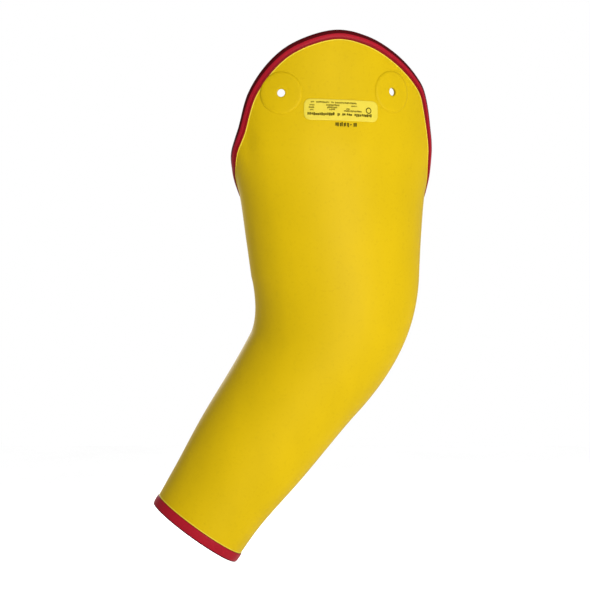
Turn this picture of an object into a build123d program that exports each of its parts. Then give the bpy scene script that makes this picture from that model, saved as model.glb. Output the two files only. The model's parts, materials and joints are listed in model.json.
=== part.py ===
from build123d import *
import math
import os

# A moulded rubber sleeve for the left arm, hanging from its two harness button holes.
# +Z up, +X towards the back of the arm, -Y the outer side. Millimetres.
# The surface is described by a distance up the centre line from the cuff, and an angle
# round the section: 0 is the outer side, 90 the back of the arm, 180 the inner side.

UPPER_LEAN = 1.7  # degrees that the upper arm leans forwards from the vertical
FOREARM_TILT = 35.4  # degrees that the forearm reaches forwards from the vertical
BEND_RADIUS = 210.0  # of the centre line at the elbow
FOREARM_LENGTH = 332.5  # from the cuff to where the two straight centre lines would cross

# distance up the centre line, half width, half depth, twist of the section in degrees,
# and how far the section sits to the back of the arm
SECTIONS = [
    (0, 67.0, 47, 0, 3.8),
    (57, 70.3, 50, 1, 0.8),
    (130, 78.5, 56, 2, 0),
    (255, 89.0, 66, 6, 0),
    (355, 109.0, 75, 12, 0),
    (445, 121.0, 82, 18, 0),
    (505, 129.5, 86, 21, 0),
    (535, 137.0, 88, 22, 0),
    (565, 146.0, 90, 23, 0),
    (630, 151.0, 90, 23, 0),
    (715, 152.0, 90, 23, 0),
]

# angle round the section and distance up the centre line of the shoulder opening's edge
RIM = [
    (-190, 447), (-155, 461), (-125, 500), (-104, 534), (-90.5, 553),
    (-74.5, 586), (-62, 632), (-47, 669.5), (-32, 693), (-12, 707.5),
    (5, 701), (21, 682.5), (37, 656), (46, 635), (51, 606),
    (56, 577), (63, 547), (80, 516), (105, 486), (140, 455),
]
SAMPLES_PER_POINT = 2  # points of a ring for each point of the rim

WALL = 2.0
GLUE = 0.2  # clearance between a bonded layer and the wall
BAND_GAP = 0.4  # clearance between the wall and the sides of a binding
END_GAP = 0.6  # clearance between the wall's edge and the fold of its binding
PAD = 1.5
PAD_RADIUS = 27.0
HOLE_RADIUS = 5.0
LABEL = 0.8
LABEL_WIDTH = 100.0
LABEL_HEIGHT = 27.0
LABEL_CORNER = 6.0

# distance up, angle round, and the turn of the hole's axis to the right of straight out
FRONT_HOLE = (629, -41.4, -5)
REAR_HOLE = (632, 19.1, 35)
LABEL_CENTRE = (606, -9.5, 16)

FLAP_BASE = 525  # where the shoulder flap starts above the upper arm's tube

# half of a binding's outline: distance below the edge, and height above the wall
SHOULDER_BEAD = [(12.0, 0.4), (11.4, 1.2), (9.0, 2.2), (5.5, 2.6), (2.0, 2.3), (-0.8, 1.3)]
CUFF_BEAD = [(13.0, 0.4), (12.6, 1.0), (9.5, 1.5), (5.5, 1.6), (2.0, 1.5), (-0.8, 0.9)]
BAND_ROOM = [(12.5, -8), (12.5, 8), (-3, 8), (-3, -8)]  # what a pad leaves to the binding
BEAD_TOP = 1.6  # how far a binding reaches past the wall's edge

TURN = math.radians(FOREARM_TILT + UPPER_LEAN)
TANGENT = BEND_RADIUS * math.tan(TURN / 2)
BEND_START = FOREARM_LENGTH - TANGENT
BEND_END = BEND_START + BEND_RADIUS * TURN
WALK_STEPS = 3
ROUND = len(RIM) * SAMPLES_PER_POINT


def smooth(table, x):
    """Values at x on smooth curves through a table whose first column is x."""
    i = sum(row[0] <= x for row in table[1:-1])
    before, here = table[max(i - 1, 0)], table[i]
    there, after = table[i + 1], table[min(i + 2, len(table) - 1)]
    step = there[0] - here[0]
    u = (x - here[0]) / step
    values = []
    for p0, p1, p2, p3 in zip(before[1:], here[1:], there[1:], after[1:]):
        slope1 = (p2 - p0) / (there[0] - before[0]) * step
        slope2 = (p3 - p1) / (after[0] - here[0]) * step
        rise = p2 - p1
        values.append(
            p1 + u * (slope1 + u * (3 * rise - 2 * slope1 - slope2 + u * (slope1 + slope2 - 2 * rise)))
        )
    return values


def centre(up):
    """Centre line at a distance up from the cuff: x, z and the tilt from the vertical."""
    tilt = math.radians(FOREARM_TILT)
    lean = math.radians(UPPER_LEAN)
    if up < BEND_START:
        back = FOREARM_LENGTH - up
        return -back * math.sin(tilt), -back * math.cos(tilt), tilt
    if up > BEND_END:
        on = up - BEND_END + TANGENT
        return -on * math.sin(lean), on * math.cos(lean), -lean
    x = -TANGENT * math.sin(tilt) - BEND_RADIUS * math.cos(tilt)
    z = -TANGENT * math.cos(tilt) + BEND_RADIUS * math.sin(tilt)
    here = tilt - (up - BEND_START) / BEND_RADIUS
    return x + BEND_RADIUS * math.cos(here), z - BEND_RADIUS * math.sin(here), here


def on_skin(up, angle):
    """Point of the outer surface, before the origin is moved."""
    x, z, tilt = centre(up)
    width, depth, twist, shift = smooth(SECTIONS, up)
    a, t = math.radians(angle), math.radians(twist)
    across = width * math.sin(a) * math.cos(t) + depth * math.cos(a) * math.sin(t) + shift
    away = width * math.sin(a) * math.sin(t) - depth * math.cos(a) * math.cos(t)
    return Vector(x + across * math.cos(tilt), away, z - across * math.sin(tilt))


def skin(up, angle, out=0.0):
    """Point at a height out from the outer surface, along its normal."""
    along = on_skin(up + 0.5, angle) - on_skin(up - 0.5, angle)
    round_it = on_skin(up, angle + 0.1) - on_skin(up, angle - 0.1)
    return on_skin(up, angle) + round_it.cross(along).normalized() * out - ORIGIN


def hole_axis(place):
    """Horizontal direction out of a hole."""
    turn = math.radians(place[2])
    return Vector(math.sin(turn), -math.cos(turn), 0)


ORIGIN = Vector(0, 0, 0)
ORIGIN = skin(FRONT_HOLE[0], FRONT_HOLE[1]) + hole_axis(FRONT_HOLE) * (GLUE + PAD)


def rim(i):
    """Angle and distance up of point i of a ring, counted round the shoulder edge."""
    turns = [(k, RIM[k % len(RIM)][0] + 360 * (k // len(RIM)), RIM[k % len(RIM)][1])
             for k in range(-1, len(RIM) + 2)]
    return smooth(turns, i / SAMPLES_PER_POINT)


RIM_RING = [rim(i) for i in range(ROUND)]


def closed(points):
    return Wire([Edge.make_spline(points, periodic=True)])


def ring(height, out=0.0):
    """Closed spline round the sleeve; height gives the distance up from the shoulder edge's."""
    return closed([skin(height(edge), angle, out) for angle, edge in RIM_RING])


def walk(angle, up, away, distance):
    """Place reached by going a distance over the skin, square to an edge that runs along away."""
    for step in range(WALK_STEPS):
        here = on_skin(up, angle)
        round_it = (on_skin(up, angle + 0.1) - here) * 10
        along = on_skin(up + 1, angle) - here
        heading = round_it.cross(along).cross(away).normalized() * (distance / WALK_STEPS)
        square = along - round_it * (along.dot(round_it) / round_it.dot(round_it))
        climb = heading.dot(square) / square.dot(square)
        angle += (heading - along * climb).dot(round_it) / round_it.dot(round_it)
        up += climb
    return angle, up


def level(up):
    return lambda edge: up


def between(up, share):
    """Part of the way from a level up to the shoulder edge."""
    return lambda edge: up + share * (edge - up)


def strip(rings, ruled=False):
    return Shell.make_loft(rings, ruled).faces()


def tube(heights, inner, outer):
    """Closed layer between two offsets of the skin, through rings at the heights."""
    inside = [ring(h, inner) for h in heights]
    outside = [ring(h, outer) for h in heights]
    ends = strip([inside[0], outside[0]], True) + strip([inside[-1], outside[-1]], True)
    return Solid(Shell(strip(inside) + strip(outside) + ends))


def axis_plane(place):
    """Plane at a point of the skin, facing out along a horizontal axis."""
    out = hole_axis(place)
    return Plane(skin(place[0], place[1]), x_dir=(-out.Y, out.X, 0), z_dir=out)


def drum(place, radius):
    return Solid.make_cylinder(radius, 40, axis_plane(place).offset(-20))


def pad(place, inner, outer):
    low, high = place[0] - PAD_RADIUS - 4, place[0] + PAD_RADIUS + 4
    layer = tube([level(low), level(place[0]), level(high)], inner, outer)
    disc = (layer & drum(place, PAD_RADIUS)) - drum(place, HOLE_RADIUS)
    return disc - hoop(shoulder_ring, BAND_ROOM)


def label():
    reach = LABEL_HEIGHT / 2 + 6
    up = LABEL_CENTRE[0]
    layer = tube([level(up - reach), level(up), level(up + reach)], GLUE, GLUE + LABEL)
    outline = RectangleRounded(LABEL_WIDTH, LABEL_HEIGHT, LABEL_CORNER)
    return layer & extrude(axis_plane(LABEL_CENTRE).offset(-20) * outline, 60)


def spaced(low, high, count):
    return [low + (high - low) * k / (count - 1) for k in range(count)]


def binding(edge_ring, bead):
    """Band folded over an edge; its outline is the bead outside and again inside."""
    outside = bead
    inside = [(down, -WALL - out) for down, out in reversed(bead)]
    crown = [(-BEAD_TOP, -WALL / 2)]
    width = bead[0][0]
    inner = [(width * k, -WALL - BAND_GAP) for k in (0.67, 0.33)]
    outer = [(width * k, BAND_GAP) for k in (0.33, 0.67)]
    channel = inner + [(-END_GAP, -WALL - BAND_GAP), (-END_GAP, BAND_GAP)] + outer
    return hoop(edge_ring, outside + crown + inside + channel)


def hoop(edge_ring, outline):
    """Closed ring whose section is an outline of distances below the edge and heights."""
    rings = [edge_ring(down, out) for down, out in outline]
    faces = []
    for a, b in zip(rings, rings[1:] + rings[:1]):
        faces += strip([a, b], True)
    return Solid(Shell(faces))


def shoulder_ring(down, out):
    """Ring a distance inside the shoulder edge, measured square to the edge."""
    points = []
    for i, (angle, up) in enumerate(RIM_RING):
        before, after = RIM_RING[i - 1], RIM_RING[(i + 1) % ROUND]
        edge_runs = on_skin(after[1], after[0]) - on_skin(before[1], before[0])
        inside, height = walk(angle, up, edge_runs, -down)
        points.append(skin(height, inside, out))
    return closed(points)


def cuff_ring(down, out):
    return ring(level(down), out)


def save(node, shape):
    export_step(shape, f"parts/{node}.step")


def main():
    os.makedirs("parts", exist_ok=True)
    shoulder = tube([between(BEND_END, k) for k in spaced(0, 1, 22)], -WALL, 0)
    for hole in (FRONT_HOLE, REAR_HOLE):
        shoulder -= drum(hole, HOLE_RADIUS)
    x, z, tilt = centre(FLAP_BASE)
    cut = Plane(Vector(x, 0, z) - ORIGIN, z_dir=(math.sin(tilt), 0, math.cos(tilt)))
    save("upper_arm_wall", shoulder.split(cut, keep=Keep.BOTTOM))
    save("shoulder_flap", shoulder.split(cut, keep=Keep.TOP))
    save("elbow_wall", tube([level(u) for u in spaced(BEND_START, BEND_END, 5)], -WALL, 0))
    save("forearm_wall", tube([level(u) for u in spaced(0, BEND_START, 17)], -WALL, 0))
    save("shoulder_binding", binding(shoulder_ring, SHOULDER_BEAD))
    save("cuff_binding", binding(cuff_ring, CUFF_BEAD))
    for side, hole in (("front", FRONT_HOLE), ("rear", REAR_HOLE)):
        save(f"{side}_outer_pad", pad(hole, GLUE, GLUE + PAD))
        save(f"{side}_inner_pad", pad(hole, -WALL - GLUE - PAD, -WALL - GLUE))
    save("label_patch", label())


main()
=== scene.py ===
import json
import math
import bpy
import numpy as np
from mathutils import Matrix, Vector


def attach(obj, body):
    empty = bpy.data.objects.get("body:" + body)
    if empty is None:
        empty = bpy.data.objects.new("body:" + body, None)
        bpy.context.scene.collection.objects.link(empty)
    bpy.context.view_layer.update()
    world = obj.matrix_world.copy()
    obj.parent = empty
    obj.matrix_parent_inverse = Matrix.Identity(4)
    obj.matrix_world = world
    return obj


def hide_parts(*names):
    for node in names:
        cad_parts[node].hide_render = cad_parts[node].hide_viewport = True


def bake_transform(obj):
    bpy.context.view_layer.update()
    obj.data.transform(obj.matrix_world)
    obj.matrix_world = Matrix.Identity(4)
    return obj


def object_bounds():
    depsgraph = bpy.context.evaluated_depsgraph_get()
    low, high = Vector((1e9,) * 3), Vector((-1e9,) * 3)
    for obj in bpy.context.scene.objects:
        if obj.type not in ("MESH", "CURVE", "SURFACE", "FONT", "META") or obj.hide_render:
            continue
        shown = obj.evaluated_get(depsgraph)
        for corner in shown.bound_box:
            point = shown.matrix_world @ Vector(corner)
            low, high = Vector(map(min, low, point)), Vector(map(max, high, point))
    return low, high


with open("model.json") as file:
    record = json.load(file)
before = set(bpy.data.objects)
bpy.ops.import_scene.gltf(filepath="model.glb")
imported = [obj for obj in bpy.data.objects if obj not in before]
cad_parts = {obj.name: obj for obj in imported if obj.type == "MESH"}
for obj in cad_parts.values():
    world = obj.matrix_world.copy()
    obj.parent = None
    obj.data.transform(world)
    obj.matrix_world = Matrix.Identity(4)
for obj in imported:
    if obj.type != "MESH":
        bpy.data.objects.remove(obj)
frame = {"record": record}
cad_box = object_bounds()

# A moulded rubber sleeve for the left arm, hanging from its harness button holes.
# The skin is a formula of the distance up the centre line from the cuff and the angle
# round the section: 0 is the outer side, 90 the back of the arm, 180 the inner side.
# Lengths of the formula are in millimetres; MM turns them into the frame's metres.
MM = 0.001

UPPER_LEAN = math.radians(1.7)
FOREARM_TILT = math.radians(35.4)
BEND_RADIUS = 210.0
FOREARM_LENGTH = 332.5  # from the cuff to the corner where the straight centre lines meet

# distance up, half width, half depth, twist of the section in degrees, and how far the
# section sits to the back of the arm
SECTIONS = np.array([
    (0, 67.0, 47, 0, 3.8),
    (57, 70.3, 50, 1, 0.8),
    (130, 78.5, 56, 2, 0),
    (255, 89.0, 66, 6, 0),
    (355, 109.0, 75, 12, 0),
    (445, 121.0, 82, 18, 0),
    (505, 129.5, 86, 21, 0),
    (535, 137.0, 88, 22, 0),
    (565, 146.0, 90, 23, 0),
    (630, 151.0, 90, 23, 0),
    (715, 152.0, 90, 23, 0),
])

# angle and distance up of the shoulder opening's edge
RIM = np.array([
    (-190, 447), (-155, 461), (-125, 500), (-104, 534), (-90.5, 553),
    (-74.5, 586), (-62, 632), (-47, 669.5), (-32, 693), (-12, 707.5),
    (5, 701), (21, 682.5), (37, 656), (46, 635), (51, 606),
    (56, 577), (63, 547), (80, 516), (105, 486), (140, 455),
])

WALL = 2.0  # thickness
FRONT_HOLE = (629, -41.4)  # distance up and angle
REAR_HOLE = (632, 19.1)
PAD = 1.6  # height of a pad on the skin, outside and inside
PAD_OUT = 1.7  # of the CAD pad's face above the skin, where the frame's origin lies
LABEL_CENTRE = (606, -9.5)
LABEL_TURN = 16  # degrees that the label faces towards the back of the arm

TURN = FOREARM_TILT + UPPER_LEAN
TANGENT = BEND_RADIUS * math.tan(TURN / 2)
BEND_START = FOREARM_LENGTH - TANGENT
BEND_END = BEND_START + BEND_RADIUS * TURN

HALF = 0.5  # each way, for the surface's change over a millimetre up or a degree round
SMALL_TURN = 0.1  # degrees, for its direction round the section
DEGREE_WIDTH = 1.6  # millimetres round the flap to a degree, only for a first guess
GUESSES = 6

# slow waves of dipped rubber: height, millimetres up to a radian, waves round, and phase
WAVES = [(0.35, 61, 2, 0.6), (0.25, 37, -3, 2.1), (0.15, 23, 5, 4.0)]
# one shallow dent near the flap's front
DENT_DEPTH = 2.4
DENT_UP, DENT_TALL = 569, 26
DENT_ANGLE, DENT_WIDE = -67, 7


# ---------------------------------------------------------------- the sleeve's surface

def smooth(table, x):
    """Rows of values at x, on smooth curves through a table whose first column is x."""
    i = np.clip(np.searchsorted(table[:, 0], x, side="right") - 1, 0, len(table) - 2)
    before, here = table[np.maximum(i - 1, 0)], table[i]
    there, after = table[i + 1], table[np.minimum(i + 2, len(table) - 1)]
    step = there[..., :1] - here[..., :1]
    u = (x[..., None] - here[..., :1]) / step
    p0, p1, p2, p3 = (row[..., 1:] for row in (before, here, there, after))
    slope1 = (p2 - p0) / (there[..., :1] - before[..., :1]) * step
    slope2 = (p3 - p1) / (after[..., :1] - here[..., :1]) * step
    rise = p2 - p1
    square = 3 * rise - 2 * slope1 - slope2
    cube = slope1 + slope2 - 2 * rise
    return p1 + u * (slope1 + u * (square + u * cube))


def centre(up):
    """x, z and tilt from the vertical of the centre line."""
    sin_low, cos_low = math.sin(FOREARM_TILT), math.cos(FOREARM_TILT)
    sin_high, cos_high = math.sin(UPPER_LEAN), math.cos(UPPER_LEAN)
    back = np.maximum(FOREARM_LENGTH - up, TANGENT)
    on = np.maximum(up - BEND_END + TANGENT, TANGENT)
    tilt = FOREARM_TILT - (np.clip(up, BEND_START, BEND_END) - BEND_START) / BEND_RADIUS
    bend_x = -TANGENT * sin_low - BEND_RADIUS * (cos_low - np.cos(tilt))
    bend_z = -TANGENT * cos_low + BEND_RADIUS * (sin_low - np.sin(tilt))
    low, high = up < BEND_START, up > BEND_END
    x = np.where(low, -back * sin_low, np.where(high, -on * sin_high, bend_x))
    z = np.where(low, -back * cos_low, np.where(high, on * cos_high, bend_z))
    return x, z, tilt


def base(up, angle):
    """Points of the outer surface in millimetres, before the frame's origin is moved."""
    up, angle = np.broadcast_arrays(np.asarray(up, float), np.asarray(angle, float))
    x, z, tilt = centre(up)
    width, depth, twist, shift = np.moveaxis(smooth(SECTIONS, up), -1, 0)
    a, t = np.radians(angle), np.radians(twist)
    across = width * np.sin(a) * np.cos(t) + depth * np.cos(a) * np.sin(t) + shift
    away = width * np.sin(a) * np.sin(t) - depth * np.cos(a) * np.cos(t)
    return np.stack([x + across * np.cos(tilt), away, z - across * np.sin(tilt)], -1)


def unit(v):
    return v / np.linalg.norm(v, axis=-1, keepdims=True)


def normal(up, angle):
    """Direction that the surface faces, outwards."""
    along = base(up + HALF, angle) - base(up - HALF, angle)
    round_it = base(up, angle + SMALL_TURN) - base(up, angle - SMALL_TURN)
    return unit(np.cross(round_it, along))


AXES = {mount["name"]: np.array(mount["axis"]) for mount in frame["record"]["mounts"]}
ORIGIN = base(*FRONT_HOLE) + AXES["front_button_hole"] * PAD_OUT
HOLES = {
    "front": (FRONT_HOLE, AXES["front_button_hole"]),
    "rear": (REAR_HOLE, AXES["rear_button_hole"]),
}


def undulation(up, angle):
    """Height of the rubber's waves and dent in millimetres."""
    a = np.radians(angle)
    from_up, from_angle = (up - DENT_UP) / DENT_TALL, (angle - DENT_ANGLE) / DENT_WIDE
    dent = DENT_DEPTH * np.exp(-from_up ** 2 - from_angle ** 2)
    waves = [
        height * np.sin(up / length + turns * a + phase)
        for height, length, turns, phase in WAVES
    ]
    return sum(waves) - dent


def skin(up, angle, out=0.0):
    """Points in metres, in the frame, a height out of the uneven outer surface."""
    up, angle = np.broadcast_arrays(np.asarray(up, float), np.asarray(angle, float))
    height = np.asarray(out) + undulation(up, angle)
    return (base(up, angle) + normal(up, angle) * height[..., None] - ORIGIN) * MM


def walk(angle, up, away, distance, steps=6):
    """Places reached by going a distance over the skin, square to an edge along away."""
    angle, up = angle.copy(), up.copy()
    for step in range(steps):
        here = base(up, angle)
        round_it = (base(up, angle + SMALL_TURN) - here) / SMALL_TURN
        along = base(up + 1, angle) - here
        heading = unit(np.cross(np.cross(round_it, along), away)) * (distance / steps)
        size = (round_it * round_it).sum(-1)
        square = along - round_it * ((along * round_it).sum(-1) / size)[..., None]
        climb = (heading * square).sum(-1) / (square * square).sum(-1)
        angle += ((heading - along * climb[..., None]) * round_it).sum(-1) / size
        up += climb
    return angle, up


def level_side(axis):
    """Level direction to the right, for someone who looks at a surface that faces along axis."""
    return np.array([-axis[1], axis[0], 0])


def crossed(a, b):
    """Cross product of flat vectors."""
    return a[..., 0] * b[..., 1] - a[..., 1] * b[..., 0]


def under(place, axis, right, high):
    """Places of the skin that lie at offsets right and high of a place, seen along an axis."""
    up = place[0] + high
    angle = place[1] + right / DEGREE_WIDTH
    target = np.stack([right, high], -1)
    flat = np.stack([level_side(axis), (0, 0, 1)], -1)
    middle = base(*place)
    for guess in range(GUESSES):
        miss = target - (base(up, angle) - middle) @ flat
        by_up = (base(up + HALF, angle) - base(up - HALF, angle)) @ flat
        by_angle = (base(up, angle + HALF) - base(up, angle - HALF)) @ flat
        scale = crossed(by_up, by_angle)
        up = up + crossed(miss, by_angle) / scale
        angle = angle + crossed(by_up, miss) / scale
    return up, angle


# ---------------------------------------------------------------- meshes

def make(name, points, faces, materials, looks=None):
    """Smooth-shaded piece; looks is each face's place in the materials, or none for the first."""
    mesh = bpy.data.meshes.new(name)
    mesh.from_pydata(np.asarray(points).reshape(-1, 3).tolist(), [], [list(f) for f in faces])
    mesh.polygons.foreach_set("use_smooth", [True] * len(mesh.polygons))
    for material in materials:
        mesh.materials.append(material)
    if looks is not None:
        mesh.polygons.foreach_set("material_index", np.asarray(looks, np.int32))
    mesh.update()
    obj = bpy.data.objects.new(name, mesh)
    bpy.context.scene.collection.objects.link(obj)
    return obj


def quads(rows, columns, loop_rows=False):
    """Faces of a grid of points whose rows are rings, and whose columns may be too."""
    i = np.arange(rows if loop_rows else rows - 1)[:, None]
    j = np.arange(columns)[None, :]
    i2, j2 = (i + 1) % rows, (j + 1) % columns
    corners = [i * columns + j, i * columns + j2, i2 * columns + j2, i2 * columns + j]
    return np.stack(corners, -1).reshape(-1, 4)


# ---------------------------------------------------------------- materials

SPECULAR = 0.04
MIX_A, MIX_B, MIX_RESULT = 6, 7, 2  # a Mix node's sockets for colours

# scales of the patterns, and their heights as bumps in metres
CLOUD_SCALE = 9
GRAIN_SCALE, GRAIN_HEIGHT = 260, 0.0006
STREAK_SCALE, STREAK_HEIGHT = 26, 0.002
PORE_SCALE, PORE_HEIGHT = 420, 0.0003
STREAK_STRETCH = (1, 1, 0.25)
FINE_DETAIL = 4
WHITE = (1, 1, 1)
SPECK = (0.93, 0.93, 0.93)
SPECK_AT = (0.28, 0.45)  # values of the grain that the specks fade away between
SMOOTHEST, ROUGHEST = -0.05, 0.1  # change of roughness where the cloud is lowest and highest


def new_material(name, roughness):
    mat = bpy.data.materials.new(name)
    mat.use_nodes = True
    nodes, links = mat.node_tree.nodes, mat.node_tree.links
    shader = nodes["Principled BSDF"]
    shader.inputs["Roughness"].default_value = roughness
    shader.inputs["Specular IOR Level"].default_value = SPECULAR
    place = nodes.new("ShaderNodeTexCoord")
    return mat, nodes, links, shader, place.outputs["Object"]


def noise(nodes, links, place, scale, detail=3.0, stretch=None):
    if stretch:
        mapping = nodes.new("ShaderNodeMapping")
        mapping.inputs["Scale"].default_value = stretch
        links.new(place, mapping.inputs["Vector"])
        place = mapping.outputs["Vector"]
    node = nodes.new("ShaderNodeTexNoise")
    node.inputs["Scale"].default_value = scale
    node.inputs["Detail"].default_value = detail
    links.new(place, node.inputs["Vector"])
    return node.outputs["Fac"]


def ramp(nodes, links, value, low, high, at=(0.3, 0.7)):
    node = nodes.new("ShaderNodeValToRGB")
    node.color_ramp.elements[0].position, node.color_ramp.elements[1].position = at
    node.color_ramp.elements[0].color = (*low, 1)
    node.color_ramp.elements[1].color = (*high, 1)
    links.new(value, node.inputs["Fac"])
    return node.outputs["Color"]


def multiplied(nodes, links, a, b):
    node = nodes.new("ShaderNodeMix")
    node.data_type = "RGBA"
    node.blend_type = "MULTIPLY"
    node.inputs["Factor"].default_value = 1.0
    links.new(a, node.inputs[MIX_A])
    links.new(b, node.inputs[MIX_B])
    return node.outputs[MIX_RESULT]


def bumps(nodes, links, shader, *layers):
    """Chain of bumps, each a height with its distance in metres and its strength."""
    last = None
    for height, distance, strength in layers:
        node = nodes.new("ShaderNodeBump")
        node.inputs["Distance"].default_value = distance
        node.inputs["Strength"].default_value = strength
        links.new(height, node.inputs["Height"])
        if last:
            links.new(last, node.inputs["Normal"])
        last = node.outputs["Normal"]
    links.new(last, shader.inputs["Normal"])


def cloudy_roughness(nodes, links, shader, cloud, roughness):
    sheen = nodes.new("ShaderNodeMapRange")
    sheen.inputs["To Min"].default_value = roughness + SMOOTHEST
    sheen.inputs["To Max"].default_value = roughness + ROUGHEST
    links.new(cloud, sheen.inputs["Value"])
    links.new(sheen.outputs["Result"], shader.inputs["Roughness"])


def pore_pattern(nodes, links, place):
    dots = nodes.new("ShaderNodeTexVoronoi")
    dots.inputs["Scale"].default_value = PORE_SCALE
    links.new(place, dots.inputs["Vector"])
    return dots.outputs["Distance"]


def rubber(name, colour, roughness, mottle, grain, pores):
    """Dipped rubber: cloudy colour, a fine skin grain and a scatter of pores."""
    mat, nodes, links, shader, place = new_material(name, roughness)
    cloud = noise(nodes, links, place, CLOUD_SCALE, FINE_DETAIL)
    fine = noise(nodes, links, place, GRAIN_SCALE, FINE_DETAIL)
    streak = noise(nodes, links, place, STREAK_SCALE, stretch=STREAK_STRETCH)
    body = ramp(nodes, links, cloud, [c * (1 - mottle) for c in colour], colour)
    tone = ramp(nodes, links, streak, (1 - mottle,) * 3, WHITE)
    specks = ramp(nodes, links, fine, SPECK, WHITE, SPECK_AT)
    mottled = multiplied(nodes, links, body, tone)
    links.new(multiplied(nodes, links, mottled, specks), shader.inputs["Base Color"])
    cloudy_roughness(nodes, links, shader, cloud, roughness)
    bumps(
        nodes, links, shader,
        (fine, GRAIN_HEIGHT, grain),
        (pore_pattern(nodes, links, place), PORE_HEIGHT, pores),
        (streak, STREAK_HEIGHT, grain),
    )
    return mat


# colour, roughness, and how strong the mottling, the grain and the pores are
YELLOW = rubber("yellow_rubber_skin", (0.305, 0.206, 0.0006), 0.50, 0.06, 0.10, 0.06)
INSIDE = rubber("yellow_rubber_inside", (0.30, 0.20, 0.002), 0.62, 0.07, 0.14, 0.08)
# the three reds are one rubber in lit and shaded copies: a painted highlight for the crest,
# painted half shade for the flanks, painted shade for the turned-away edges
PAINTED_HIGHLIGHT_RED = rubber("red_rubber_painted_highlight", (0.185, 0.0040, 0.0095), 0.45, 0.12, 0.12, 0.06)
PAINTED_HALF_SHADE_RED = rubber("red_rubber_painted_half_shade", (0.115, 0.0008, 0.0026), 0.45, 0.14, 0.12, 0.06)
PAINTED_SHADE_RED = rubber("red_rubber_painted_shade", (0.040, 0.0002, 0.0010), 0.50, 0.16, 0.12, 0.06)
CEMENT = rubber("dried_cement", (0.38, 0.295, 0.020), 0.45, 0.10, 0.12, 0.06)
LABEL = rubber("label_rubber_face", (0.345, 0.278, 0.027), 0.5, 0.05, 0.06, 0.03)
INK = rubber("faded_ink", (0.062, 0.046, 0.002), 0.55, 0.25, 0.05, 0.02)
PALE_INK = rubber("pale_ink", (0.135, 0.105, 0.008), 0.55, 0.25, 0.05, 0.02)


# ---------------------------------------------------------------- the sleeve's wall

PER_POINT = 12
AROUND = len(RIM) * PER_POINT
LOW_ROWS = 130  # rows of points from the cuff to the end of the bend
HIGH_ROWS = 96  # rows of points from there to the shoulder's edge
CLEAR_HOLE = 9.0  # radius of the wall's hole, which the pad lines down to the button's size
CLEAR_MARGIN = 1.5  # how far past that the faces left out for it may reach
FAR_SIDE = -40  # places deeper than this behind a hole lie on the tube's other side
OUT_OF_REACH = 1e3


def rim_ring():
    """Angle and distance up of points along the shoulder opening's edge."""
    n = len(RIM)
    k = np.arange(-1, n + 2)
    turns = np.column_stack([k, RIM[k % n, 0] + 360 * (k // n), RIM[k % n, 1]])
    return smooth(turns, np.arange(AROUND) / PER_POINT).T


RING_ANGLE, RING_UP = rim_ring()


def wall_rows():
    """Distance up of each point, in rows from the cuff to the shoulder's edge."""
    low = np.linspace(0, BEND_END, LOW_ROWS)[:, None] * np.ones(AROUND)
    share = np.linspace(0, 1, HIGH_ROWS + 1)[1:, None]
    high = BEND_END + share * (RING_UP - BEND_END)
    return np.vstack([low, high])


def open_hole(place, axis, up, angle, faces, keep):
    """Leave out the faces over a hole, and draw the points round them in to its edge."""
    offset = base(up, angle) - base(*place)
    across, high = offset @ level_side(axis), offset[:, 2]
    reach = np.where(offset @ axis > FAR_SIDE, np.hypot(across, high), OUT_OF_REACH)
    gone = (reach[faces] < CLEAR_HOLE + CLEAR_MARGIN).all(1)
    edge = np.intersect1d(faces[gone], faces[keep & ~gone])
    keep &= ~gone
    scale = CLEAR_HOLE / reach[edge]
    up[edge], angle[edge] = under(place, axis, across[edge] * scale, high[edge] * scale)


def closed_shell(up, angle, shown):
    """Points and faces of the outer and inner skins, joined wherever the faces end."""
    outer, inner = skin(up, angle), skin(up, angle, -WALL)
    count = len(outer)
    sides = shown[:, [0, 1, 1, 2, 2, 3, 3, 0]].reshape(-1, 2)
    known = {tuple(side) for side in sides.tolist()}
    open_sides = sorted(side for side in known if side[::-1] not in known)
    ends = [(b, a, a + count, b + count) for a, b in open_sides]
    faces = np.vstack([shown, shown[:, ::-1] + count, ends])
    used, faces_of_used = np.unique(faces, return_inverse=True)
    return np.vstack([outer, inner])[used], faces_of_used.reshape(faces.shape)


def build_wall():
    """The whole wall as one closed shell, with a hole for each button."""
    rows = wall_rows()
    up, angle = rows.ravel(), np.tile(RING_ANGLE, len(rows))
    faces = quads(len(rows), AROUND)
    keep = np.ones(len(faces), bool)
    for place, axis in HOLES.values():
        open_hole(place, axis, up, angle, faces, keep)
    points, shell = closed_shell(up, angle, faces[keep])
    looks = np.zeros(len(shell))
    looks[keep.sum():2 * keep.sum()] = 1
    return make("sleeve_wall", points, shell, [YELLOW, INSIDE], looks)


wall = build_wall()
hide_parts("upper_arm_wall", "shoulder_flap", "elbow_wall", "forearm_wall")


# ---------------------------------------------------------------- button-hole pads

PAD_ROUND = 96
# distance from the hole's axis and share of the pad's height; the edge sinks into the skin
PAD_OUTLINE = [
    (27.6, -0.35), (27.2, 0.0), (26.8, 0.30), (26.2, 0.58), (25.4, 0.80), (24.4, 0.93),
    (23.0, 0.99), (20.0, 1.0), (16.0, 1.0), (12.0, 1.0), (9.0, 1.0), (7.2, 1.0),
    (6.3, 0.97), (5.7, 0.86), (5.25, 0.62), (5.05, 0.30), (5.0, 0.0),
]


def build_pad(name, place, axis):
    """Disc on each side of the wall, joined through the hole."""
    around = np.arange(PAD_ROUND) * 2 * math.pi / PAD_ROUND
    layers = [(radius, share * PAD) for radius, share in PAD_OUTLINE]
    layers += [(radius, -WALL - share * PAD) for radius, share in reversed(PAD_OUTLINE)]
    rows = []
    for radius, height in layers:
        up, angle = under(place, axis, radius * np.cos(around), radius * np.sin(around))
        rows.append(skin(up, angle, height))
    pad = make(name, rows, quads(len(rows), PAD_ROUND, loop_rows=True), [YELLOW])
    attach(pad, "upper_arm")
    return pad


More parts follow.
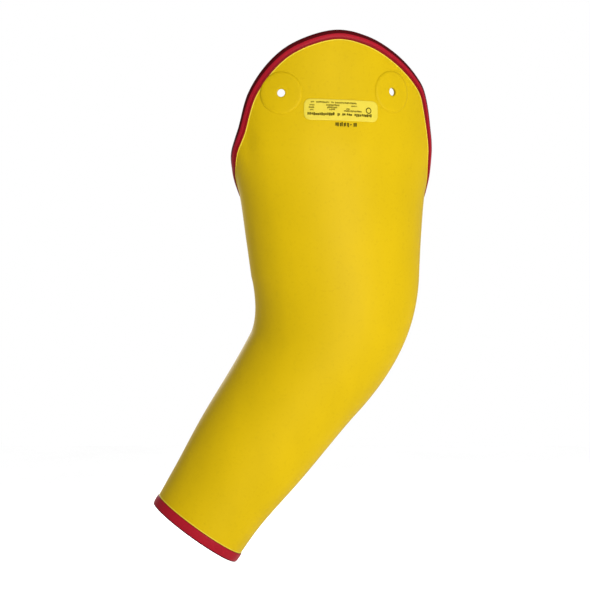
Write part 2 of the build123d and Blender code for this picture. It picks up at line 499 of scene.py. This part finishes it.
front_pad = build_pad("front_button_pad", *HOLES["front"])
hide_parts("front_outer_pad", "front_inner_pad")
rear_pad = build_pad("rear_button_pad", *HOLES["rear"])
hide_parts("rear_outer_pad", "rear_inner_pad")


# ---------------------------------------------------------------- bindings

# half of each section: distance inside the edge, height out of the wall, and the material of the
# strip that follows.
# The red strips are one rubber painted as lit and shaded copies: painted highlight on the crest,
# painted shade on the flanks and on the edges that turn away from the light.
SHOULDER_BEAD = [
    (12.3, -0.3, CEMENT), (12.2, 0.2, CEMENT), (11.4, 0.4, CEMENT), (11.1, 0.5, PAINTED_HALF_SHADE_RED),
    (10.9, 1.1, PAINTED_HALF_SHADE_RED), (10.3, 1.6, PAINTED_HALF_SHADE_RED), (9.3, 2.0, PAINTED_HALF_SHADE_RED), (8.3, 2.25, PAINTED_HIGHLIGHT_RED),
    (7.0, 2.5, PAINTED_HIGHLIGHT_RED), (5.4, 2.62, PAINTED_HIGHLIGHT_RED), (4.0, 2.5, PAINTED_SHADE_RED), (2.6, 2.25, PAINTED_SHADE_RED),
    (1.2, 1.9, PAINTED_SHADE_RED), (0.0, 1.4, PAINTED_SHADE_RED), (-0.8, 0.7, PAINTED_SHADE_RED), (-1.2, -0.2, PAINTED_SHADE_RED),
]
CUFF_BEAD = [
    (12.6, -0.3, CEMENT), (12.5, 0.15, CEMENT), (11.7, 0.3, CEMENT), (11.3, 0.4, PAINTED_SHADE_RED),
    (11.1, 0.85, PAINTED_HALF_SHADE_RED), (10.3, 1.25, PAINTED_HIGHLIGHT_RED), (8.6, 1.45, PAINTED_HIGHLIGHT_RED), (6.8, 1.55, PAINTED_HIGHLIGHT_RED),
    (4.8, 1.6, PAINTED_HIGHLIGHT_RED), (2.8, 1.6, PAINTED_HIGHLIGHT_RED), (1.0, 1.55, PAINTED_HIGHLIGHT_RED), (-0.2, 1.45, PAINTED_HIGHLIGHT_RED),
    (-1.4, 1.2, PAINTED_SHADE_RED), (-2.5, 0.75, PAINTED_SHADE_RED), (-3.1, -0.2, PAINTED_SHADE_RED),
]
BAND_MATERIALS = [PAINTED_HIGHLIGHT_RED, PAINTED_HALF_SHADE_RED, PAINTED_SHADE_RED, CEMENT]

RIPPLE_HEIGHT = 0.25  # of the shoulder strip's crest, by hand-laid unevenness
RIPPLE_RATE, RIPPLE_BEAT = 0.35, 0.081  # radians to a point of the ring
RIPPLE_OVER = 1  # only what stands further out of the wall than this is uneven


def band(name, bead, edge_ring, turned=False):
    """Rubber strip folded over an edge, the same inside as outside."""
    outer = [(down, out) for down, out, material in bead]
    inner = [(down, -WALL - out) for down, out in reversed(outer)]
    points = np.array([edge_ring(down, out) for down, out in outer + inner])
    faces = quads(len(points), AROUND, loop_rows=True)
    # each strip's material, which paints the highlight on the crest and the shade on the edges
    strips = [BAND_MATERIALS.index(material) for down, out, material in bead]
    looks = np.repeat(strips + strips[-2::-1] + [BAND_MATERIALS.index(CEMENT)], AROUND)
    binding = make(name, points, faces[:, ::-1] if turned else faces, BAND_MATERIALS, looks)
    return binding


def shoulder_ring(down, out):
    """Ring of points a distance inside the shoulder's edge and a height out of the wall."""
    ahead = base(np.roll(RING_UP, -1), np.roll(RING_ANGLE, -1))
    behind = base(np.roll(RING_UP, 1), np.roll(RING_ANGLE, 1))
    angle, up = walk(RING_ANGLE, RING_UP, ahead - behind, -down)
    if out > RIPPLE_OVER:
        k = np.arange(AROUND)
        out = out + RIPPLE_HEIGHT * np.sin(k * RIPPLE_RATE) * np.sin(k * RIPPLE_BEAT + 1)
    return skin(up, angle, out)


def cuff_ring(down, out):
    """Ring of points a distance inside the cuff's edge and a height out of the wall."""
    return skin(np.full(AROUND, float(down)), RING_ANGLE, out)


shoulder_band = band("shoulder_edge_band", SHOULDER_BEAD, shoulder_ring)
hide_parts("shoulder_binding")
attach(shoulder_band, "upper_arm")
cuff_band = band("cuff_edge_band", CUFF_BEAD, cuff_ring, turned=True)
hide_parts("cuff_binding")
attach(cuff_band, "forearm")


# ---------------------------------------------------------------- label and print

LABEL_WIDTH = 100.0
LABEL_HEIGHT = 27.0
LABEL_CORNER = 8.0
LABEL_THICK = 0.8
LABEL_UNDER = -0.4  # its underside, a little way into the wall
LABEL_AXIS = np.array([math.sin(math.radians(LABEL_TURN)), -math.cos(math.radians(LABEL_TURN)), 0])
# distances inside the label's edge of its outlines, and the heights of those on the rounded edge
INSETS = [0, 0.25, 0.7, 1.4, 2.4, 3.6, 5, 6.4, 7.8, 9.2, 10.6, 12, 13.45]
EDGE_HEIGHTS = [0.35, 0.62, 0.76]
LEAST_CORNER = 0.4  # of an outline's half height


def rounded_box(width, height, corner, arc=8, along=24):
    """Outline of a rounded rectangle about its centre, anticlockwise, as (right, high)."""
    turn = np.linspace(0, math.pi / 2, arc)
    points = []
    for quarter, (right, high) in enumerate(((1, 1), (-1, 1), (-1, -1), (1, -1))):
        middle = np.array([right * (width / 2 - corner), high * (height / 2 - corner)])
        a = turn + quarter * math.pi / 2
        points.append(middle + corner * np.column_stack([np.cos(a), np.sin(a)]))
    shape = []
    for i, here in enumerate(points):
        there = points[(i + 1) % 4]
        share = np.linspace(0, 1, along + 2)[1:-1, None]
        shape += [here, here[-1] + share * (there[0] - here[-1])]
    return np.vstack(shape)


def over(outline, height):
    """Points of the skin at a height, under an outline about the label's centre."""
    up, angle = under(LABEL_CENTRE, LABEL_AXIS, outline[:, 0], outline[:, 1])
    return skin(up, angle, height)


def closed_faces(rows, columns, first=0):
    """Faces of stacked outlines, with a face over each end."""
    sides = (quads(rows, columns) + first).tolist()
    top = first + (rows - 1) * columns
    lid = list(range(top, top + columns))
    bottom = list(range(first, first + columns))[::-1]
    return sides + [lid, bottom]


def label_outline(inset):
    half = LABEL_HEIGHT / 2 - inset
    corner = max(LABEL_CORNER - inset, LEAST_CORNER * half)
    return rounded_box(LABEL_WIDTH - 2 * inset, LABEL_HEIGHT - 2 * inset, corner)


def build_label():
    """Raised patch; its underside is the same outlines, a little way into the wall."""
    heights = EDGE_HEIGHTS + [LABEL_THICK] * (len(INSETS) - len(EDGE_HEIGHTS))
    layers = [(inset, LABEL_UNDER) for inset in reversed(INSETS)] + list(zip(INSETS, heights))
    rows = [over(label_outline(inset), height) for inset, height in layers]
    return make("label_patch_face", rows, closed_faces(len(rows), len(rows[0])), [LABEL])


label = build_label()
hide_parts("label_patch")
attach(label, "upper_arm")

# Printing, as blocks that can't be read: start, end and height of each line, and how tall
FAINT_LINES = [
    (-41.5, -37.0, 9.4, 2.4), (-34.5, -17.5, 9.4, 2.4), (-15.0, -11.5, 9.4, 2.4),
    (-10.0, 19.5, 9.2, 2.4), (-43.0, -36.5, 5.6, 2.2), (-21.5, -4.0, 5.8, 2.6),
    (12.0, 20.0, 5.4, 2.0), (-44.0, -37.0, 2.4, 2.2), (-20.5, -7.0, 2.8, 2.6),
    (5.0, 10.0, 1.6, 2.0), (-42.5, -38.0, -0.6, 1.8), (-18.0, -10.0, 0.2, 2.0),
    (2.0, 26.5, -1.0, 2.4),
]
BOLD_LINES = [
    (-46.0, -10.5, -5.6, 4.2), (-6.8, -3.2, -5.6, 4.2), (-0.4, 4.2, -5.6, 3.8),
    (5.4, 13.2, -5.4, 3.6), (16.2, 41.0, -5.8, 4.2),
]
STAMP_LINES = [
    (-9.6, -4.6, -18.6, 6.2), (-3.6, 0.8, -18.6, 6.2), (1.8, 5.0, -18.4, 6.0),
    (6.0, 9.2, -18.2, 6.0), (10.4, 13.0, -18.2, 1.8), (15.0, 20.2, -18.0, 6.0),
]
INK_HEIGHT = 0.12
INK_UNDER = 0.1  # how far a block goes into what it is printed on
BLOCK_PITCH = 0.62  # of a line's height, as are the blocks' heights and their drop
BLOCK_HEIGHTS = (0.65, 1.0)
BLOCK_DROP = 0.12
BLOCK_WIDTHS = (0.72, 0.95)  # of the pitch
BLOCK_CORNER = 0.3  # of a block's smaller side
BLOCK_SEED = 11
# a plain ring beside the lines, in two halves
MARK_PLACE = (36.5, 0.9)
MARK_RADIUS = 3.4
MARK_THICK = 1.3
MARK_STARTS = (1, 181)  # degrees
MARK_SWEEP = 178
blocks = np.random.default_rng(BLOCK_SEED)


def strokes(lines):
    """Small rounded blocks along each line of print."""
    shapes = []
    for start, end, high, tall in lines:
        length = end - start
        count = max(2, round(length / (BLOCK_PITCH * tall)))
        for k in range(count):
            middle = start + (k + 0.5) * length / count
            width = length / count * blocks.uniform(*BLOCK_WIDTHS)
            height = tall * blocks.uniform(*BLOCK_HEIGHTS)
            drop = blocks.uniform(-BLOCK_DROP, BLOCK_DROP) * tall
            shape = rounded_box(width, height, BLOCK_CORNER * min(width, height), arc=3, along=1)
            shapes.append(shape + (middle, high + drop))
    return shapes


def half_ring(start, count=20):
    """Outline of half the ring, a hair short so that the two halves don't touch."""
    a = np.radians(np.linspace(start, start + MARK_SWEEP, count))
    ray = np.column_stack([np.cos(a), np.sin(a)])
    outer, inner = ray * (MARK_RADIUS + MARK_THICK / 2), ray * (MARK_RADIUS - MARK_THICK / 2)
    return np.vstack([outer, inner[::-1]]) + MARK_PLACE


def build_print(name, faint, bold, low):
    """Blocks of faint and of bold ink, on a surface at a height out of the skin."""
    points, faces, looks = [], [], []
    for look, shapes in enumerate((faint, bold)):
        for shape in shapes:
            new = closed_faces(2, len(shape), len(points))
            for height in (low - INK_UNDER, low + INK_HEIGHT):
                points += over(shape, height).tolist()
            faces += new
            looks += [look] * len(new)
    piece = make(name, points, faces, [PALE_INK, INK], looks)
    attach(piece, "upper_arm")


plain_ring = [half_ring(start) for start in MARK_STARTS]
build_print("label_print", strokes(FAINT_LINES), strokes(BOLD_LINES) + plain_ring, LABEL_THICK)
build_print("batch_stamp", [], strokes(STAMP_LINES), 0.0)

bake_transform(wall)


# ---------------------------------------------------------------- studio

VIEW_CENTRE = (0.0179, 0.1028, -0.2568)  # where the camera looks, on the sleeve's middle plane
VIEW_DISTANCE = 1.95
VIEW_WIDTH = 0.7906  # what the picture is wide, at that distance
SENSOR_WIDTH = 36.0

FLOOR_DROP = 0.25  # below the lowest point of the sleeve
FLOOR_REACH = 4.0
FLOOR_ROUGHNESS = 0.9
FLOOR_SCALE = 3
FLOOR_DARKEST = (0.975, 0.975, 0.975)
FLOOR_PALEST = (0.995, 0.995, 0.995)

# place, width and height, and power
KEY_LIGHT = ((1.18, -1.88, -0.42), (0.7, 0.6), 78)
REAR_LIGHT = ((-0.9, 2.3, 0.5), (1.2, 1.0), 45)


def area_light(name, aim, place, size, power):
    data = bpy.data.lights.new(name, "AREA")
    data.shape = "RECTANGLE"
    data.size, data.size_y = size
    data.energy = power
    light = bpy.data.objects.new(name, data)
    light.location = place
    direction = np.array(aim) - np.array(place)
    light.rotation_euler = Vector(direction).to_track_quat("-Z", "Y").to_euler()
    bpy.context.scene.collection.objects.link(light)


def add_camera():
    data = bpy.data.cameras.new("camera")
    data.sensor_width = SENSOR_WIDTH
    data.lens = SENSOR_WIDTH * VIEW_DISTANCE / VIEW_WIDTH
    camera = bpy.data.objects.new("camera", data)
    camera.location = (VIEW_CENTRE[0], VIEW_CENTRE[1] - VIEW_DISTANCE, VIEW_CENTRE[2])
    camera.rotation_euler = (math.pi / 2, 0, 0)
    bpy.context.scene.collection.objects.link(camera)
    bpy.context.scene.camera = camera


def add_floor(height):
    mat, nodes, links, shader, place = new_material("pale_floor", FLOOR_ROUGHNESS)
    tone = ramp(nodes, links, noise(nodes, links, place, FLOOR_SCALE), FLOOR_DARKEST, FLOOR_PALEST)
    links.new(tone, shader.inputs["Base Color"])
    corners = [(-1, -1), (1, -1), (1, 1), (-1, 1)]
    points = [(x * FLOOR_REACH, y * FLOOR_REACH, height) for x, y in corners]
    floor = make("floor", points, [(0, 1, 2, 3)], [mat])


def add_world():
    world = bpy.data.worlds.new("studio")
    world.use_nodes = True
    background = world.node_tree.nodes["Background"]
    background.inputs["Color"].default_value = (1, 1, 1, 1)
    background.inputs["Strength"].default_value = 1.0
    bpy.context.scene.world = world
    bpy.context.scene.view_settings.view_transform = "Standard"


middle = tuple((np.array(cad_box[0]) + np.array(cad_box[1])) / 2)
add_camera()
add_floor(cad_box[0][2] - FLOOR_DROP)
add_world()
area_light("key", middle, *KEY_LIGHT)
area_light("rear_fill", middle, *REAR_LIGHT)
